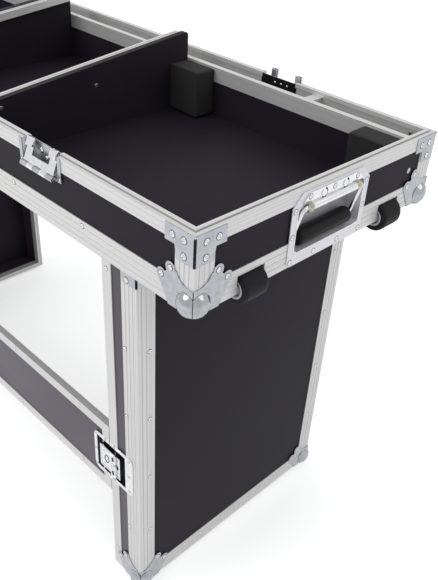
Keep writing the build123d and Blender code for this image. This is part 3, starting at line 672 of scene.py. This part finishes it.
def ball_seams(bm, corner, ways):
    """Three seams that meet at the outermost point of a ball, and the one up its fold, drawn as dark
    lines of painted shade in their creases.
    """
    centre = corner - Vector(ways) * BALL_INSET * MM
    for axis in range(3):
        out = Vector([0.0 if count == axis else ways[count] for count in range(3)]).normalized()
        run = Vector([-ways[count] if count == axis else 0.0 for count in range(3)])
        points = []
        for turn in angles(SEAM_START, SEAM_END, SEAM_STEPS):
            away = out * math.cos(turn) + run * math.sin(turn)
            points.append(centre + away * (BALL_RADIUS - SEAM_SINK) * MM)
        tube(bm, points, SEAM_RADIUS, FINE_SIDES)
    out = (PLATE - SEAM_SINK) * MM
    edge = corner + Vector((ways[0] * out, ways[1] * out, 0))
    tube(bm, [edge + Vector((0, 0, rise * MM)) for rise in FOLD_SEAM], SEAM_RADIUS, FINE_SIDES)


def ball_beads(bm, corner, ways):
    """Bead pressed round the foot of each lobe, on the three plates."""
    centre = corner - Vector(ways) * BALL_INSET * MM
    for axis in range(3):
        others = [count for count in range(3) if count != axis]
        level = (BALL_INSET + PLATE) * MM
        points = []
        for turn in angles(BEAD_START, BEAD_END, BEAD_STEPS):
            spot = Vector((0, 0, 0))
            spot[axis] = ways[axis] * level
            spot[others[0]] = -ways[others[0]] * math.cos(turn) * BEAD_TURN * MM
            spot[others[1]] = -ways[others[1]] * math.sin(turn) * BEAD_TURN * MM
            points.append(centre + spot)
        tube(bm, points, BEAD_RADIUS, FINE_SIDES)


def ball_details():
    """Seams and beads of every ball corner, on the tray and at the feet; the seams dark with painted
    shade.
    """
    seams = bmesh.new()
    beads = bmesh.new()
    for side in (1, -1):
        for end in (1, -1):
            tray = Vector((MIDDLE + side * HALF_LENGTH, end * Y_SIDE, TRAY_BOTTOM))
            foot = Vector((MIDDLE + side * (LEG_OUT - MIDDLE), end * LEG_Y, LEG_LOW.z))
            for corner in (tray, foot):
                ball_seams(seams, corner, (side, end, -1))
                ball_beads(beads, corner, (side, end, -1))
    # seams in near-black: painted shade in their creases
    piece("shaded_seams_of_balls", seams, "painted_shade", "case")
    piece("beads_of_balls", beads, "chrome", "case")


def wall_fasteners():
    """Screws of the end panels, the rear rim and the partitions."""
    bm = bmesh.new()
    for name, way in (("right", 1), ("left", -1)):
        place, half = TRAY_FACES[name]
        screw(bm, at(place, way * (half - PANEL_SCREW[0]), -PANEL_SCREW[1], -SKIN), PANEL_SCREW_RADIUS)
    rim = on_face((MIDDLE, Y_SIDE - RIM_WIDTH * MM, TRAY_TOP), (1, 0, 0), (0, 0, 1))
    for side, board in ((1, "partition_right"), (-1, "partition_left")):
        screw(bm, at(rim, side * (HALF_LENGTH / MM - RIM_SCREW[0]), -RIM_SCREW[1]), RIM_SCREW_RADIUS)
        low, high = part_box(board)
        face = on_face((high.x if side > 0 else low.x, 0, TRAY_TOP), (0, side, 0), (0, 0, 1))
        for along in PARTITION_SCREWS:
            screw(bm, at(face, side * along, -PARTITION_SCREW_DROP), PARTITION_SCREW_RADIUS)
    piece("screws_of_walls", bm, "plate", "case")


# Handles: each function adds one piece at one end

def handle_rivets(name, face):
    """Rivets round the dish and of the hinge plate."""
    bm = bmesh.new()
    for along, up in HANDLE_RIVETS:
        for way in (1, -1):
            rivet(bm, at(face, way * along, up, HANDLE_PLATE), HANDLE_RIVET)
    for along in HINGE_RIVETS:
        rivet(bm, at(face, along, HINGE_RIVET_UP, 2 * HANDLE_PLATE), HANDLE_RIVET)
    piece(f"rivets_handle_{name}", bm, "rod", "case")


def handle_bead(name, face):
    """Bead pressed round the mouth of the dish."""
    bm = bmesh.new()
    points = []
    right = MOUTH_HALF - MOUTH_CORNER
    top = MOUTH_HIGH - MOUTH_CORNER
    foot = MOUTH_LOW + MOUTH_CORNER
    for x, y, start in ((right, top, 0), (-right, top, 90), (-right, foot, 180), (right, foot, 270)):
        for turn in angles(start, start + 90, MOUTH_STEPS):
            around = Vector((math.cos(turn), math.sin(turn), 0)) * MOUTH_CORNER
            points.append(face @ ((Vector((x, y, HANDLE_PLATE)) + around) * MM))
    tube(bm, [*points, points[0]], MOUTH_BEAD)
    piece(f"bead_handle_{name}", bm, "rod", "case")


def handle_slot_shades(name, face):
    """Dark crescent of painted shade where the slot beside each lug opens."""
    bm = bmesh.new()
    inner, outer = CRESCENT
    turns = angles(CRESCENT_START, CRESCENT_END, CRESCENT_STEPS)
    outline = [(outer * math.cos(turn), outer * math.sin(turn)) for turn in turns]
    outline += [(inner * math.cos(turn), inner * math.sin(turn)) for turn in reversed(turns)]
    for along in LUGS:
        slab(bm, at(face, along, LUG_UP, 2 * HANDLE_PLATE), outline, -FILM, FILM, edge=0.0)
    piece(f"slot_shades_handle_{name}", bm, "painted_shade", "case", smooth=False)


def handle_springs(name, face):
    """Coil at each end of the hinge."""
    bm = bmesh.new()
    centre = at(face, 0, BARREL_LIFT, BARREL_OUT)
    for way in (1, -1):
        points = []
        for step in range(COIL_STEPS + 1):
            share = step / COIL_STEPS
            turn = 2 * math.pi * COIL_TURNS * share
            along = way * (COIL_START + COIL_LENGTH * share)
            spot = Vector((along, math.sin(turn) * COIL_RADIUS, math.cos(turn) * COIL_RADIUS))
            points.append(centre @ (spot * MM))
        tube(bm, points, COIL_WIRE, FINE_SIDES)
    piece(f"springs_handle_{name}", bm, "brass", "case")


def along_y(node):
    """Place in the middle of a node that is turned round Y, its half length and its radius."""
    low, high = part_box(node)
    middle = on_face((low + high) / 2, (0, 0, 1), (1, 0, 0))
    return middle, (high.y - low.y) / 2 / MM, (high.z - low.z) / 2 / MM


def handle_grip(name):
    """Rubber grip with rounded ends, in the place of its solid."""
    middle, half, outer = along_y(f"handle_grip_{name}")
    profile = [(GRIP_BORE, -half)]
    profile += [(outer - sink, -half + inset) for inset, sink in GRIP_END]
    profile += [(outer - sink, half - inset) for inset, sink in reversed(GRIP_END)]
    profile += [(GRIP_BORE, half), (GRIP_BORE, -half)]
    bm = bmesh.new()
    lathe(bm, middle, profile, GRIP_STEPS)
    thing = piece(f"grip_handle_{name}", bm, "grip", f"handle_{name}")
    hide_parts(f"handle_grip_{name}")


def handle_details(side):
    """Everything on one handle that its solids don't have."""
    name = "right" if side > 0 else "left"
    face = on_face((X_END if side > 0 else X_LEFT, 0, TRAY_BOTTOM), (0, side, 0), (0, 0, 1))
    handle_rivets(name, face)
    handle_bead(name, face)
    handle_slot_shades(name, face)
    handle_springs(name, face)
    handle_grip(name)


# Wheels

def tyre(name):
    """Rubber tyre with rounded shoulders, in the place of its solid."""
    middle, half, outer = along_y(f"wheel_tyre_{name}")
    profile = [(HUB_RADIUS, -half)]
    profile += [(outer - sink, -half + inset) for inset, sink in TYRE_EDGE]
    profile += [(outer - sink, half - inset) for inset, sink in reversed(TYRE_EDGE)]
    profile += [(HUB_RADIUS, half), (HUB_RADIUS, -half)]
    bm = bmesh.new()
    lathe(bm, middle, profile, TYRE_STEPS)
    thing = piece(f"tyre_{name}", bm, "tyre", f"wheel_{name}")
    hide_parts(f"wheel_tyre_{name}")


def wheel_hub(name):
    """Dished hub with its boss, in the place of its solid."""
    middle, half, _ = along_y(f"wheel_tyre_{name}")
    boss = along_y(f"wheel_hub_{name}")[1]
    rim = HUB_RADIUS - HUB_RIM
    side = [
        (HUB_BORE, -boss), (HUB_BOSS - HUB_EDGE, -boss), (HUB_BOSS, -boss + HUB_EDGE),
        (HUB_BOSS + HUB_DRAFT, -half + HUB_DISH), (rim - HUB_DRAFT, -half + HUB_DISH),
        (rim, -half + HUB_EDGE), (rim + HUB_EDGE, -half), (HUB_RADIUS - HUB_FIT, -half),
    ]
    profile = side + [(radius, -height) for radius, height in reversed(side)] + [side[0]]
    bm = bmesh.new()
    lathe(bm, middle, profile, HUB_STEPS)
    thing = piece(f"hub_{name}", bm, "hub", f"wheel_{name}")
    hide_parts(f"wheel_hub_{name}")


# Keepers

def keeper_dish_backs():
    """Back of each keeper's dish inside the tray: a riveted plate coloured black as painted shade over
    the chrome back.
    """
    plates = bmesh.new()
    rivets = bmesh.new()
    for side in (1, -1):
        x = MIDDLE + side * (HALF_LENGTH - KEEPER_PLACE * MM)
        for end in (1, -1):
            face = on_face((x, end * (Y_SIDE - DISH_BACK_IN * MM), TRAY_TOP), (end, 0, 0), (0, 0, 1))
            half = DISH_BACK_WIDTH / 2
            slab(plates, face, rectangle(-half, half, -DISH_BACK_HEIGHT, 0), 0, DISH_BACK_THICK)
            for along in DISH_BACK_RIVETS:
                spot = at(face, side * end * along, -DISH_BACK_RIVET_DOWN, DISH_BACK_THICK)
                rivet(rivets, spot, SMALL_RIVET, SMALL_RISE)
    piece("shaded_dish_backs_of_keepers", plates, "grip", "case", smooth=False)
    piece("rivets_keeper_dish_backs", rivets, "rod", "case")


def keeper_rivets():
    """Rivets at both ends of each keeper's flange, and in the floor of its dish."""
    bm = bmesh.new()
    for name in ("front", "rear"):
        place = TRAY_FACES[name][0]
        for side in (1, -1):
            middle = side * (HALF_LENGTH / MM - KEEPER_PLACE)
            for way in (1, -1):
                spot = at(place, middle + way * KEEPER_RIVET[0], -KEEPER_RIVET[1], PLATE)
                rivet(bm, spot, SMALL_RIVET, SMALL_RISE)
            for along, up in DISH_RIVETS:
                rivet(bm, at(place, middle + along, up, -DISH_DEPTH))
    piece("rivets_keepers", bm, "rod", "case")


def window_cutter(place):
    """Block as large as the window of a leaf, to cut it with."""
    bm = bmesh.new()
    outline = rectangle(-WINDOW_HALF, WINDOW_HALF, *WINDOW_UP)
    slab(bm, place, outline, -HINGE_OUT, HINGE_OUT, edge=0.0)
    mesh = bpy.data.meshes.new("window")
    bm.to_mesh(mesh)
    bm.free()
    return new_object("window", mesh)


def keeper_leaf(name, place):
    """Leaf of a keeper: a copy of its solid with the window between the two loops."""
    cutter = window_cutter(place)
    thing = new_object(f"leaf_{name}", nodes[name].data.copy())
    window = thing.modifiers.new("window", "BOOLEAN")
    window.operation = "DIFFERENCE"
    window.solver = "EXACT"
    window.object = cutter
    done = thing.evaluated_get(bpy.context.evaluated_depsgraph_get())
    thing.data = bpy.data.meshes.new_from_object(done)
    thing.modifiers.clear()
    bpy.data.objects.remove(cutter)
    thing.data.materials.clear()
    thing.data.materials.append(materials["polished"])
    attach(thing, name)
    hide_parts(name)


def keeper_bead(name, place):
    """Bead along the foot of a leaf's window."""
    bm = bmesh.new()
    ends = [(way * WINDOW_HALF, WINDOW_UP[0]) for way in (-1, 1)]
    tube(bm, on_plane(place, ends), WINDOW_BEAD, WINDOW_BEAD_SIDES)
    piece(f"bead_{name}", bm, "rod", name)


def keeper(end, side):
    """Moving part of one keeper: the front ones lean into their dishes, the rear ones stand upright."""
    name = f"keeper_{'front' if end < 0 else 'rear'}_{'right' if side > 0 else 'left'}"
    x = MIDDLE + side * (HALF_LENGTH - KEEPER_PLACE * MM)
    axis = Vector((x, end * (Y_SIDE + HINGE_OUT * MM), TRAY_TOP - HINGE_DROP * MM))
    tilt = math.radians(PARKED_TILT if end < 0 else 0.0)
    place = on_face(axis, (-end, 0, 0), (0, -end * math.sin(tilt), math.cos(tilt)))
    keeper_leaf(name, place)
    keeper_bead(name, place)


# Foam

def foam_blocks():
    """Soft blocks with rounded edges and a slightly uneven skin."""
    mesh = nodes["bay_foam_blocks"].data.copy()
    thing = new_object("foam_blocks", mesh)
    cells = thing.modifiers.new("cells", "REMESH")
    cells.mode = "VOXEL"
    cells.voxel_size = FOAM_CELL * MM
    soft = thing.modifiers.new("soft", "SMOOTH")
    soft.factor = FOAM_SOFTNESS
    soft.iterations = FOAM_ROUNDS
    relief = bpy.data.textures.new("foam_relief", "CLOUDS")
    relief.noise_scale = FOAM_WAVE * MM
    uneven = thing.modifiers.new("uneven", "DISPLACE")
    uneven.texture = relief
    uneven.texture_coords = "GLOBAL"
    uneven.strength = -FOAM_RELIEF * MM
    uneven.mid_level = 0.0
    mesh.materials.clear()
    mesh.materials.append(materials["foam"])
    mesh.shade_smooth()
    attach(thing, "case")
    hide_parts("bay_foam_blocks")


# Stand

def corner_rivets(bm, place, way, edge):
    """Rivets of a leg's ball corner and top brace on one face, counted from an upright edge."""
    for along, up in EARS:
        rivet(bm, at(place, way * (edge - along), up, PLATE), EAR_RIVET)
    along, down = LEG_BRACE_RIVET
    rivet(bm, at(place, way * (edge - along), LEG_HEIGHT - BRACE_TOP - down, PLATE))


def leg_rivets():
    """Rivets of the legs' angles, frames, braces and ball corners."""
    bm = bmesh.new()
    for side in (1, -1):
        for face in ("front", "rear"):
            place = leg_corner(side, face)
            way = side if face == "front" else -side
            for height in POST_RIVETS:
                rivet(bm, at(place, -way * FRONT_LINE, height), POST_RIVET)
            for height in FRAME_RIVETS:
                rivet(bm, at(place, -way * (LEG_WIDTH - FRAME_LINE), height), POST_RIVET)
            corner_rivets(bm, place, way, 0)
        place = leg_corner(side, "outer")
        edge = LEG_Y / MM
        for way in (1, -1):
            for height in POST_RIVETS:
                rivet(bm, at(place, way * (edge - SIDE_LINE), height), POST_RIVET)
            corner_rivets(bm, place, way, edge)
        for along in FOOT_RIVETS:
            rivet(bm, at(place, along, FOOT_RIVET_UP), POST_RIVET)
    piece("rivets_legs", bm, "rod", "case")


def crossbar_rivets():
    """Rivets along the crossbar's upper and lower trims."""
    bm = bmesh.new()
    low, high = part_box("crossbar_trims")
    face = on_face((MIDDLE, low.y, (low.z + high.z) / 2), (1, 0, 0), (0, 0, 1))
    half = (high.z - low.z) / 2 / MM - BAR_RIVET_EDGE
    for count in range(-BAR_RIVETS, BAR_RIVETS + 1):
        for way in (1, -1):
            rivet(bm, at(face, count * BAR_RIVET_PITCH, way * half), POST_RIVET)
    piece("rivets_crossbar", bm, "rod", "case")


def latch_face(side, y):
    """Place on the seam between a leg and the crossbar, at the height of the latches."""
    low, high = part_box("latch_dishes")
    x = MIDDLE + side * (LEG_IN - MIDDLE)
    return on_face((x, y, (low.z + high.z) / 2), (1, 0, 0), (0, 0, 1))


def latch_rivets():
    """Rivets round both dishes of each latch."""
    bm = bmesh.new()
    for side in (1, -1):
        face = latch_face(side, -LEG_Y)
        for along, up in LATCH_RIVETS:
            for way in ((1, -1) if up else (1,)):
                rivet(bm, at(face, side * along, way * up, PLATE), SMALL_RIVET, SMALL_RISE)
    piece("rivets_latches", bm, "rod", "case")


def hook_ribs(side, name, face, half):
    """Pressed border of a hook plate on three sides, and its two rivets."""
    bm = bmesh.new()
    level = half - HOOK_RIB_IN
    for way in (1, -1):
        ends = [(side * along, way * level) for along in HOOK_RIB_ENDS]
        tube(bm, on_plane(face, ends), HOOK_RIB)
        spot = at(face, side * HOOK_RIVET[0], way * HOOK_RIVET[1])
        rivet(bm, spot, SMALL_RIVET, SMALL_RISE, with_shadow=False)
    ends = [(side * HOOK_RIB_ENDS[0], way * level) for way in (1, -1)]
    tube(bm, on_plane(face, ends), HOOK_RIB)
    piece(f"ribs_hook_{name}", bm, "rod", f"latch_hook_{name}")


def oval(middle, half):
    """Closed outline of an oval in millimetres, its first point repeated at its end."""
    (x, y), (width, height) = middle, half
    turns = angles(0, 360, RING_STEPS)
    return [(x + width * math.cos(turn), y + height * math.sin(turn)) for turn in turns]


def hook_shade_ring(side, name, face):
    """Dark ring of painted shade round the slot of a hook plate."""
    bm = bmesh.new()
    outline = [(side * x, y) for x, y in oval((RING_PLACE, 0), RING_HALF)]
    tube(bm, on_plane(face, outline), RING_WIRE, FINE_SIDES)
    piece(f"shade_ring_hook_{name}", bm, "painted_shade", f"latch_hook_{name}")


def wing_boss(side, name):
    """Head of a wing's stem, and the pressed loop of each of its two lobes, with a dark film of painted
    shade in its hollow.
    """
    boss = bmesh.new()
    hollow = bmesh.new()
    wing = latch_face(side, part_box(f"latch_wing_{name}")[0].y)
    flat = at(wing, side * STEM_PLACE, 0, -TAB_HEIGHT)
    lathe(boss, flat, BOSS_PROFILE, BOSS_STEPS)
    for way in (1, -1):
        outline = oval((0, way * LOBE_PLACE), LOBE_HALF)
        tube(boss, on_plane(flat, outline), LOBE_WIRE, FINE_SIDES)
        # dark film of painted shade in the lobe's hollow
        slab(hollow, flat, outline[:-1], -FILM, HOLLOW_RISE, edge=0.0)
    piece(f"boss_wing_{name}", boss, "rod", f"latch_wing_{name}")
    piece(f"shaded_hollows_wing_{name}", hollow, "painted_shade", f"latch_wing_{name}", smooth=False)


def latch_details(side):
    """Everything pressed into or riveted on the moving parts of a latch."""
    name = "right" if side > 0 else "left"
    low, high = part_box(f"latch_hook_{name}")
    face = latch_face(side, low.y)
    hook_ribs(side, name, face, (high.z - low.z) / 2 / MM)
    hook_shade_ring(side, name, face)
    wing_boss(side, name)


def pan_bars(side):
    """Dark films of painted shade on the floors of a latch's two dishes, and a bright upright bar in
    them.
    """
    name = "right" if side > 0 else "left"
    face = latch_face(side, -LEG_Y)
    for kind, material, bars in (("shade_films", "painted_shade", PAN_SHADE), ("bar", "rod", PAN_BARS)):
        bm = bmesh.new()
        for start, end, half, rise in bars:
            outline = rectangle(*sorted((side * start, side * end)), -half, half)
            slab(bm, face, outline, -PAN_DEPTH, -PAN_DEPTH + rise, PAN_EDGE)
        piece(f"{kind}_pan_{name}", bm, material, "case", smooth=False)


dress_nodes()
tray_rivets()
brace_slit_shadows()
ball_details()
wall_fasteners()
for end in (1, -1):
    handle_details(end)
    latch_details(end)
    pan_bars(end)
    for way in (1, -1):
        keeper(end, way)
for wheel_name in ("front", "rear"):
    tyre(wheel_name)
    wheel_hub(wheel_name)
keeper_dish_backs()
keeper_rivets()
foam_blocks()
leg_rivets()
crossbar_rivets()
latch_rivets()
# Painted shadow: dark rings round the fixed rivets
piece("painted_shadows_of_rivets", rivet_shadows, "painted_shade", "case", smooth=False)


# Studio

def studio_floor():
    """Pale floor that keeps the shadow, and is lifted to white for the camera and for reflections."""
    floor = Surface("studio_floor")
    floor.colour(floor.noise(scale=2.0, detail=4.0), (0.89, 0.89, 0.89), (0.91, 0.91, 0.91))
    floor.set("Roughness", 0.9)
    floor.set("Specular IOR Level", 0.1)
    lift = floor.add("ShaderNodeEmission")
    lift.inputs["Strength"].default_value = FLOOR_LIFT
    both = floor.add("ShaderNodeAddShader")
    mix = floor.add("ShaderNodeMixShader")
    links = floor.tree.links
    links.new(floor.shader.outputs[0], both.inputs[0])
    links.new(lift.outputs[0], both.inputs[1])
    links.new(seen_by_camera(floor.tree), mix.inputs["Fac"])
    links.new(floor.shader.outputs[0], mix.inputs[1])
    links.new(both.outputs[0], mix.inputs[2])
    links.new(mix.outputs[0], floor.tree.nodes["Material Output"].inputs["Surface"])
    mesh = bpy.data.meshes.new("studio_floor")
    corners = rectangle(-FLOOR_HALF, FLOOR_HALF, -FLOOR_HALF, FLOOR_HALF)
    mesh.from_pydata([(x, y, 0) for x, y in corners], [], [(0, 1, 2, 3)])
    mesh.materials.append(floor.material)
    new_object("studio_floor", mesh)


def seen_by_camera(tree):
    """1 for rays from the camera, from glossy surfaces and through glass, else 0."""
    path = tree.nodes.new("ShaderNodeLightPath")
    seen = tree.nodes.new("ShaderNodeMath")
    seen.operation = "MAXIMUM"
    through = tree.nodes.new("ShaderNodeMath")
    through.operation = "MAXIMUM"
    tree.links.new(path.outputs["Is Camera Ray"], seen.inputs[0])
    tree.links.new(path.outputs["Is Glossy Ray"], seen.inputs[1])
    tree.links.new(seen.outputs[0], through.inputs[0])
    tree.links.new(path.outputs["Is Transmission Ray"], through.inputs[1])
    return through.outputs[0]


def studio_world():
    """White to the camera and to reflections, and a plain fill for everything else."""
    world = bpy.data.worlds.new("studio")
    bpy.context.scene.world = world
    world.use_nodes = True
    tree = world.node_tree
    tree.nodes.clear()
    out = tree.nodes.new("ShaderNodeOutputWorld")
    mix = tree.nodes.new("ShaderNodeMixShader")
    fill = tree.nodes.new("ShaderNodeBackground")
    white = tree.nodes.new("ShaderNodeBackground")
    fill.inputs["Color"].default_value = FILL_COLOUR
    fill.inputs["Strength"].default_value = WORLD_FILL
    white.inputs["Color"].default_value = WHITE
    white.inputs["Strength"].default_value = 1.0
    tree.links.new(seen_by_camera(tree), mix.inputs["Fac"])
    tree.links.new(fill.outputs[0], mix.inputs[1])
    tree.links.new(white.outputs[0], mix.inputs[2])
    tree.links.new(mix.outputs[0], out.inputs["Surface"])


def studio_lamp(name, place, aim, size, watts):
    """Round area lamp, turned to what it lights."""
    light = bpy.data.lights.new(name, "AREA")
    light.shape = "DISK"
    light.size = size
    light.energy = watts
    lamp = new_object(name, light)
    lamp.location = place
    lamp.rotation_euler = (Vector(aim) - Vector(place)).to_track_quat("-Z", "Y").to_euler()


def studio_camera():
    """The photograph's camera, with its centre off the middle of the frame."""
    lens = bpy.data.cameras.new("camera")
    lens.sensor_fit = "HORIZONTAL"
    lens.sensor_width = SENSOR
    lens.lens = FOCAL_PIXELS * SENSOR / PHOTO_WIDTH
    lens.shift_x = (PHOTO_WIDTH / 2 - LENS_CENTRE[0]) / PHOTO_WIDTH
    lens.shift_y = (LENS_CENTRE[1] - PHOTO_HEIGHT / 2) / PHOTO_WIDTH
    lens.clip_start, lens.clip_end = CLIP
    camera = new_object("camera", lens)
    camera.location = CAMERA_PLACE
    camera.rotation_euler = Euler([math.radians(turn) for turn in CAMERA_TURN])
    bpy.context.scene.camera = camera


studio_floor()
studio_world()
studio_lamp("key", **KEY_LAMP)
studio_lamp("rim", **RIM_LAMP)
studio_camera()
bpy.context.scene.view_settings.view_transform = "Standard"
